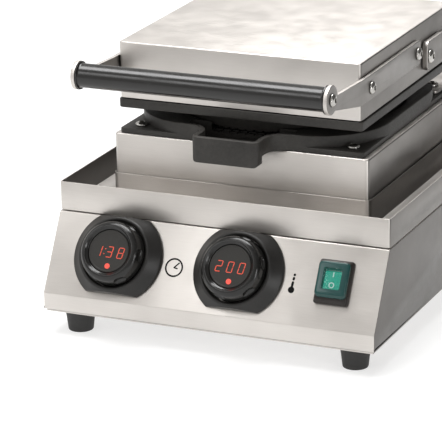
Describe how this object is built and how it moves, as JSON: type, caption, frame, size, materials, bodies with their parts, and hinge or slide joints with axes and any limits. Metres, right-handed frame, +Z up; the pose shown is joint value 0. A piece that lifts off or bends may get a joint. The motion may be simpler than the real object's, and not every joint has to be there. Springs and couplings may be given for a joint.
{
  "type": "waffle cone maker",
  "caption": "Electric waffle cone baker: round cast plates on a stainless base with drip tray, ring knobs with digit displays, rocker switch and hinged, levelling lid.",
  "frame": {"origin": "on the table, below the centre of the machine's overall box", "axes": "+X to the right seen from the front, +Y towards the rear, +Z up"},
  "size_m": [0.31, 0.4304, 0.2507],
  "materials": {
    "stainless": "brushed",
    "cast_iron": "matte granular",
    "screw_steel": "polished",
    "handle_black": "satin",
    "control_black": "satin",
    "display_window": "smoked window",
    "switch_boot": "clear moulded cover",
    "switch_green": "lit lens",
    "rubber": "matte",
    "heater_sheath": "oxidised",
    "mineral_wool": "fibrous",
    "circuit_board": "solder mask",
    "relay_case": "moulded",
    "ceramic": "glazed"
  },
  "bodies": {
    "base": {"base_housing": "stainless", "bottom_plate": "stainless", "drip_tray": "stainless", "lower_heater_housing": "stainless", "hinge_bracket_left": "stainless", "hinge_bracket_right": "stainless", "lid_stop_rod": "stainless", "lower_heat_shield": "stainless", "lower_baking_plate": "cast_iron", "plate_screw_front_left": "screw_steel", "plate_screw_front_right": "screw_steel", "plate_screw_rear_left": "screw_steel", "plate_screw_rear_right": "screw_steel", "base_screw_left": "screw_steel", "base_screw_right": "screw_steel", "lower_temperature_probe": "screw_steel", "bezel_time": "control_black", "bezel_temperature": "control_black", "switch_housing": "control_black", "cable_gland": "control_black", "display_time": "display_window", "display_temperature": "display_window", "switch_boot": "switch_boot", "foot_front_left": "rubber", "foot_front_right": "rubber", "foot_rear_left": "rubber", "foot_rear_right": "rubber", "lower_heating_element": "heater_sheath", "lower_insulation_pad": "mineral_wool", "control_board": "circuit_board", "encoder_time": "circuit_board", "encoder_temperature": "circuit_board", "power_relay": "relay_case", "safety_thermostat": "ceramic", "terminal_block": "ceramic"},
    "time_knob": {"knob_time": "control_black"},
    "temperature_knob": {"knob_temperature": "control_black"},
    "rocker": {"switch_rocker": "switch_green"},
    "lid_links": {"hinge_link_left": "stainless", "hinge_link_right": "stainless", "hinge_shaft": "stainless"},
    "lid": {"upper_baking_plate": "cast_iron", "lid_housing": "stainless", "lid_seal": "rubber", "handle_grip": "handle_black", "lid_arm_left": "stainless", "lid_arm_right": "stainless", "handle_screw_left": "screw_steel", "handle_screw_right": "screw_steel", "arm_screw_front_left": "screw_steel", "arm_screw_front_right": "screw_steel", "arm_screw_rear_left": "screw_steel", "arm_screw_rear_right": "screw_steel", "lid_pivot_left": "screw_steel", "lid_pivot_right": "screw_steel", "upper_heating_element": "heater_sheath", "upper_insulation_pad": "mineral_wool", "upper_temperature_probe": "screw_steel"}
  },
  "joints": [
    {"name": "lid_hinge", "type": "hinge", "parent": "base", "child": "lid_links", "pos_m": [0, 0.13819, 0.2168], "axis": [-1, 0, 0], "range_deg": [0, 95]},
    {"name": "lid_level", "type": "hinge", "parent": "lid_links", "child": "lid", "pos_m": [0, 0.03619, 0.2168], "axis": [-1, 0, 0], "range_deg": [0, 2]},
    {"name": "time_turn", "type": "hinge", "parent": "base", "child": "time_knob", "pos_m": [-0.0904, -0.19226, 0.07826], "axis": [0, -0.8618, 0.5072], "continuous": true},
    {"name": "temperature_turn", "type": "hinge", "parent": "base", "child": "temperature_knob", "pos_m": [0.024, -0.19226, 0.07826], "axis": [0, -0.8618, 0.5072], "continuous": true},
    {"name": "switch_rock", "type": "hinge", "parent": "base", "child": "rocker", "pos_m": [0.112, -0.18296, 0.07336], "axis": [1, 0, 0], "range_deg": [0, 11]}
  ]
}
